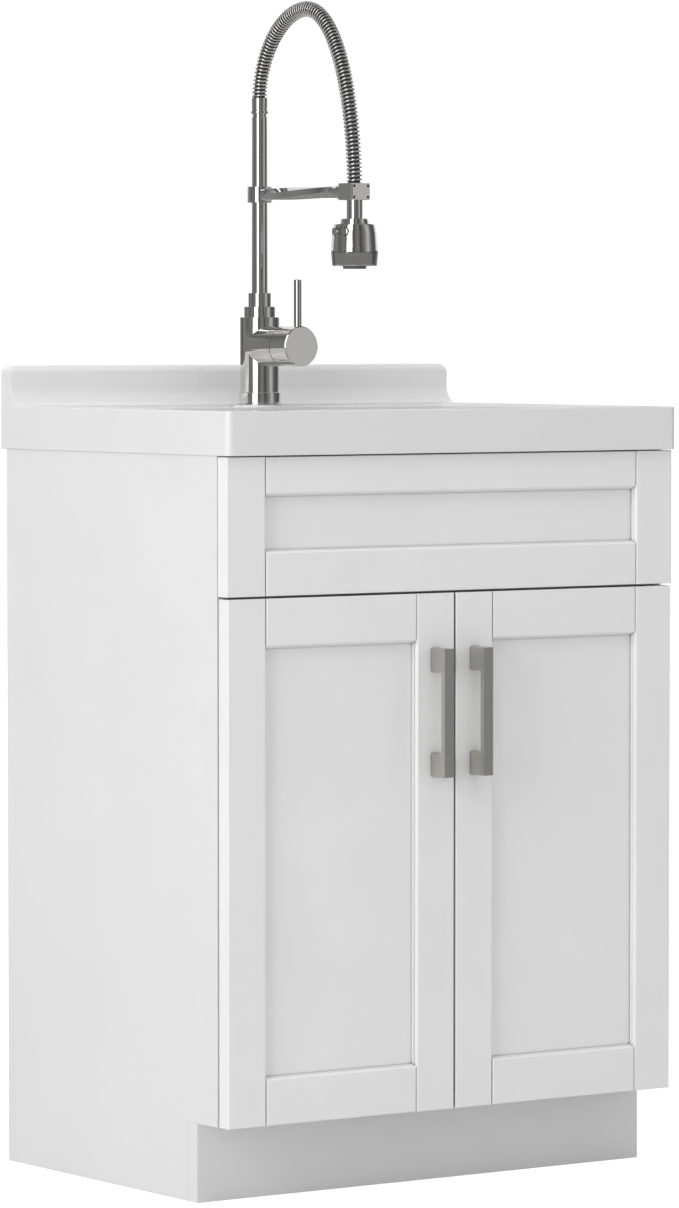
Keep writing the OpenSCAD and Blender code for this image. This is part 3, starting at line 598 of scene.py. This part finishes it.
chrome = polished("chrome", (0.73, 0.723, 0.7), 0.02)
dressed("mounting_shank", "cabinet", brass, 0.0004)
dressed("mounting_nut", "cabinet", black_plastic, 0.0008)
dressed("base_ring", "cabinet", chrome, 0.0005, 3)
dressed("faucet_body", "cabinet", chrome, 0.0008, 3)

# ---- Mixer ----
# A turned cap over a ceramic cartridge, with a plain round pin for a lever.
grey_plastic = skinned("grey_plastic", (0.2, 0.2, 0.21), 900, 0.1, 0.4, 0.08)
dressed("mixer_cartridge", "cabinet", grey_plastic, 0.0004)
dressed("mixer_stem", "mixer_stem", brass, 0.0004)
dressed("mixer_cap", "mixer_lever", chrome, 0.0006, 3)
dressed("lever_pin", "mixer_lever", chrome, 0.0003)

# ---- Riser, spring neck and hose ----
# A steel riser tube carries an open-wound spring of chromed wire; a dark braided hose runs inside it.
# The coils close up a little over the arch and open in both legs.
dressed("riser", "spout", chrome, 0.0003)
dressed("riser_ferrule", "spout", chrome, 0.0004)
spring_low, spring_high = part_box("neck_spring")
ferrule_low, ferrule_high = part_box("riser_ferrule")
wire_r = 0.00108
coil_r = (spring_high.x - spring_low.x) / 2 - wire_r
riser_y = (ferrule_low.y + ferrule_high.y) / 2
holder_low, holder_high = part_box("head_holder")
head_y = (holder_low.y + holder_high.y) / 2
neck_foot = Vector((0, riser_y, ferrule_high.z))
neck_low = spring_low.z
apex_reach = 0.0945
outer_r = 0.0089
apex = Vector((0, riser_y - apex_reach, spring_high.z - outer_r))
neck_curve = bpy.data.curves.new("neck_line", "CURVE")
neck_curve.dimensions = "3D"
neck_curve.resolution_u = 64
spline = neck_curve.splines.new("BEZIER")
spline.bezier_points.add(2)
for point, place, before, after in (
        (spline.bezier_points[0], neck_foot, (0, 0, -0.02), (0, 0, 0.049)),
        (spline.bezier_points[1], apex, (0, 0.05, 0), (0, -0.052, 0)),
        (spline.bezier_points[2], Vector((0, head_y, neck_low)), (0, 0.0035, 0.118), (0, 0, -0.02))):
    point.co = place
    point.handle_left = place + Vector(before)
    point.handle_right = place + Vector(after)
neck_line = bpy.data.objects.new("neck_line", neck_curve)
bpy.context.scene.collection.objects.link(neck_line)


def maths(tree, operation, a, b=None, c=None):
    """A maths node in the tree; each operand is a number or an output socket."""
    node = tree.nodes.new("ShaderNodeMath")
    node.operation = operation
    for slot, operand in zip(node.inputs, (a, b, c)):
        if isinstance(operand, (int, float)):
            slot.default_value = operand
        elif operand is not None:
            tree.links.new(operand, slot)
    return node.outputs[0]


# Wire wound round the line: each point of a fine copy of the line is pushed out to the coil's radius,
# at an angle that grows along the line, and the wire's round section follows those points
coil, coil_in, coil_out = geometry_tree(
    "wound_wire", {"Turns": 120.0, "Points": 1800, "Coil radius": 0.008, "Wire radius": 0.001,
                   "Closing": 0.2, "Finish": None})
wire = coil.links.new
even = coil.nodes.new("GeometryNodeResampleCurve")
along = coil.nodes.new("GeometryNodeSplineParameter")
tangent = coil.nodes.new("GeometryNodeInputTangent")
sideways = coil.nodes.new("ShaderNodeVectorMath")
sideways.operation = "CROSS_PRODUCT"
sideways.inputs[1].default_value = (1, 0, 0)
turned = maths(coil, "MULTIPLY", along.outputs["Factor"], 2 * math.pi)
closer = maths(coil, "MULTIPLY", maths(coil, "SINE", turned), coil_in.outputs["Closing"])
wound = maths(coil, "SUBTRACT", turned, closer)
angle = maths(coil, "MULTIPLY", wound, coil_in.outputs["Turns"])
across = maths(coil, "MULTIPLY", maths(coil, "COSINE", angle), coil_in.outputs["Coil radius"])
upward = maths(coil, "MULTIPLY", maths(coil, "SINE", angle), coil_in.outputs["Coil radius"])
out_x = coil.nodes.new("ShaderNodeCombineXYZ")
out_n = coil.nodes.new("ShaderNodeVectorMath")
out_n.operation = "SCALE"
push = coil.nodes.new("ShaderNodeVectorMath")
shift = coil.nodes.new("GeometryNodeSetPosition")
section = coil.nodes.new("GeometryNodeCurvePrimitiveCircle")
section.inputs["Resolution"].default_value = 8
swept = coil.nodes.new("GeometryNodeCurveToMesh")
swept.inputs["Fill Caps"].default_value = True
coil_smooth = coil.nodes.new("GeometryNodeSetShadeSmooth")
coil_real = coil.nodes.new("GeometryNodeRealizeInstances")
coil_finish = coil.nodes.new("GeometryNodeSetMaterial")
wire(coil_in.outputs["Geometry"], even.inputs["Curve"])
wire(coil_in.outputs["Points"], even.inputs["Count"])
wire(tangent.outputs[0], sideways.inputs[0])
wire(across, out_x.inputs["X"])
wire(sideways.outputs[0], out_n.inputs[0])
wire(upward, out_n.inputs["Scale"])
wire(out_x.outputs[0], push.inputs[0])
wire(out_n.outputs[0], push.inputs[1])
wire(even.outputs[0], shift.inputs["Geometry"])
wire(push.outputs[0], shift.inputs["Offset"])
wire(coil_in.outputs["Wire radius"], section.inputs["Radius"])
wire(shift.outputs[0], swept.inputs["Curve"])
wire(section.outputs[0], swept.inputs["Profile Curve"])
wire(swept.outputs[0], coil_smooth.inputs[0])
wire(coil_smooth.outputs[0], coil_real.inputs[0])
wire(coil_real.outputs[0], coil_finish.inputs["Geometry"])
wire(coil_in.outputs["Finish"], coil_finish.inputs["Material"])
wire(coil_finish.outputs[0], coil_out.inputs[0])

spring_steel = polished("spring_chrome", (0.9, 0.89, 0.87), 0.1)
spring = grown(neck_line, "neck_spring_wire", coil,
               {"Turns": 90.0, "Points": 3000, "Coil radius": coil_r, "Wire radius": wire_r,
                "Closing": 0.04, "Finish": spring_steel})
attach(spring, "spout")
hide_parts("neck_spring")

braid, braid_shader, braid_tree = finish("hose_braid", (0.05, 0.05, 0.052))
braid_place = braid_tree.nodes.new("ShaderNodeTexCoord")
braid_weave = braid_tree.nodes.new("ShaderNodeTexVoronoi")
braid_weave.inputs["Scale"].default_value = 900
braid_bump = braid_tree.nodes.new("ShaderNodeBump")
braid_bump.inputs["Strength"].default_value = 0.5
braid_bump.inputs["Distance"].default_value = 0.0003
braid_tree.links.new(braid_place.outputs["Object"], braid_weave.inputs["Vector"])
braid_tree.links.new(braid_weave.outputs["Distance"], braid_bump.inputs["Height"])
braid_tree.links.new(braid_bump.outputs["Normal"], braid_shader.inputs["Normal"])
braid_shader.inputs["Roughness"].default_value = 0.5
hose_low, hose_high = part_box("spray_hose")
hose = grown(neck_line, "spray_hose_braid", coil,
             {"Turns": 0.0, "Points": 120, "Coil radius": 0.0, "Wire radius": (hose_high.x - hose_low.x) / 2,
              "Closing": 0.0, "Finish": braid})
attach(hose, "spout")
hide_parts("spray_hose")
bpy.data.objects.remove(neck_line)

# ---- Support arm and head holder ----
# A clamp on the riser, a twisted bar and a bored block with a screwed front plate, all chromed.
dark_screw = brushed_metal("dark_screw", (0.12, 0.12, 0.12), "", 0.3)
dressed("arm_clamp", "spout", chrome, 0.0005, 3)
dressed("support_arm", "spout", chrome, 0.0)
dressed("head_holder", "spout", chrome, 0.0005, 3)
dressed("holder_screws", "spout", dark_screw, 0.0001)

# ---- Spray head ----
# A chromed shell over a plastic body, a grey soft face with nozzles, and a two-way toggle.
face_rubber = skinned("face_rubber", (0.16, 0.16, 0.165), 900, 0.1, 0.5, 0.08)
dressed("spray_head", "spray_head", chrome, 0.0005, 3)
dressed("spray_face", "spray_head", face_rubber, 0.0003)
dressed("spray_toggle", "spray_toggle", chrome, 0.0004, 3)

# Painted shade: a hair-thin dark ring stands for the shade in the gap where the shell's lower ring screws on
seam_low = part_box("spray_head")[0].z + 0.0152
seam_mesh = bpy.data.meshes.new("head_seam")
seam_ring = bmesh.new()
for k in range(96):
    turned_to = 2 * math.pi * k / 96
    for r, z in ((0.02643, 0), (0.02643, 0.0005), (0.0262, 0.0005), (0.0262, 0)):
        seam_ring.verts.new((r * math.cos(turned_to), head_y + r * math.sin(turned_to), seam_low + z))
seam_ring.verts.ensure_lookup_table()
for k in range(96):
    for corner in range(4):
        here, there = 4 * k, 4 * ((k + 1) % 96)
        following = (corner + 1) % 4
        seam_ring.faces.new([seam_ring.verts[i] for i in (
            here + corner, there + corner, there + following, here + following)])
bmesh.ops.recalc_face_normals(seam_ring, faces=seam_ring.faces)
seam_ring.to_mesh(seam_mesh)
seam_ring.free()
seam_mesh.materials.append(dark_screw)
head_seam = bpy.data.objects.new("head_seam", seam_mesh)
bpy.context.scene.collection.objects.link(head_seam)
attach(head_seam, "spray_head")

# Rings of short rubber nozzles, set in the face's holes and round its middle jet
jets, jets_in, jets_out = geometry_tree(
    "nozzle_ring", {"Count": 8, "Ring radius": 0.008, "Nozzle radius": 0.0007, "Length": 0.0025,
                    "Centre Y": 0.0, "Height": 1.0, "Finish": None})
wire = jets.links.new
jet_ring = jets.nodes.new("GeometryNodeMeshCircle")
jet = jets.nodes.new("GeometryNodeMeshCone")
jet.inputs["Vertices"].default_value = 14
jet_tip = jets.nodes.new("ShaderNodeMath")
jet_tip.operation = "MULTIPLY"
jet_tip.inputs[1].default_value = 0.6
jet_place = jets.nodes.new("ShaderNodeCombineXYZ")
jet_move = jets.nodes.new("GeometryNodeTransform")
jet_set = jets.nodes.new("GeometryNodeInstanceOnPoints")
jet_points = jets.nodes.new("GeometryNodeMeshToPoints")
jet_real = jets.nodes.new("GeometryNodeRealizeInstances")
jet_finish = jets.nodes.new("GeometryNodeSetMaterial")
wire(jets_in.outputs["Count"], jet_ring.inputs["Vertices"])
wire(jets_in.outputs["Ring radius"], jet_ring.inputs["Radius"])
wire(jets_in.outputs["Nozzle radius"], jet_tip.inputs[0])
wire(jets_in.outputs["Nozzle radius"], jet.inputs["Radius Top"])
wire(jet_tip.outputs[0], jet.inputs["Radius Bottom"])
wire(jets_in.outputs["Length"], jet.inputs["Depth"])
wire(jets_in.outputs["Centre Y"], jet_place.inputs["Y"])
wire(jets_in.outputs["Height"], jet_place.inputs["Z"])
wire(jet_ring.outputs["Mesh"], jet_points.inputs["Mesh"])
wire(jet_points.outputs[0], jet_set.inputs["Points"])
wire(jet.outputs["Mesh"], jet_set.inputs["Instance"])
wire(jet_set.outputs[0], jet_move.inputs["Geometry"])
wire(jet_place.outputs[0], jet_move.inputs["Translation"])
wire(jet_move.outputs[0], jet_real.inputs[0])
wire(jet_real.outputs[0], jet_finish.inputs["Geometry"])
wire(jets_in.outputs["Finish"], jet_finish.inputs["Material"])
wire(jet_finish.outputs[0], jets_out.inputs[0])
nozzle_rubber = skinned("nozzle_rubber", (0.3, 0.3, 0.31), 900, 0.1, 0.45, 0.08)
jet_host = spots("jet_spots", [(0, 0, 0)])
face_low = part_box("spray_face")[0].z
for ring_name, count, ring_r, jet_r in (("outer_nozzles", 8, 0.008, 0.0008),
                                        ("middle_nozzles", 6, 0.0022, 0.0006)):
    ring = grown(jet_host, ring_name, jets,
                 {"Count": count, "Ring radius": ring_r, "Nozzle radius": jet_r, "Length": 0.0028,
                  "Centre Y": head_y, "Height": face_low + 0.0003, "Finish": nozzle_rubber})
    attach(ring, "spray_head")
bpy.data.objects.remove(jet_host)
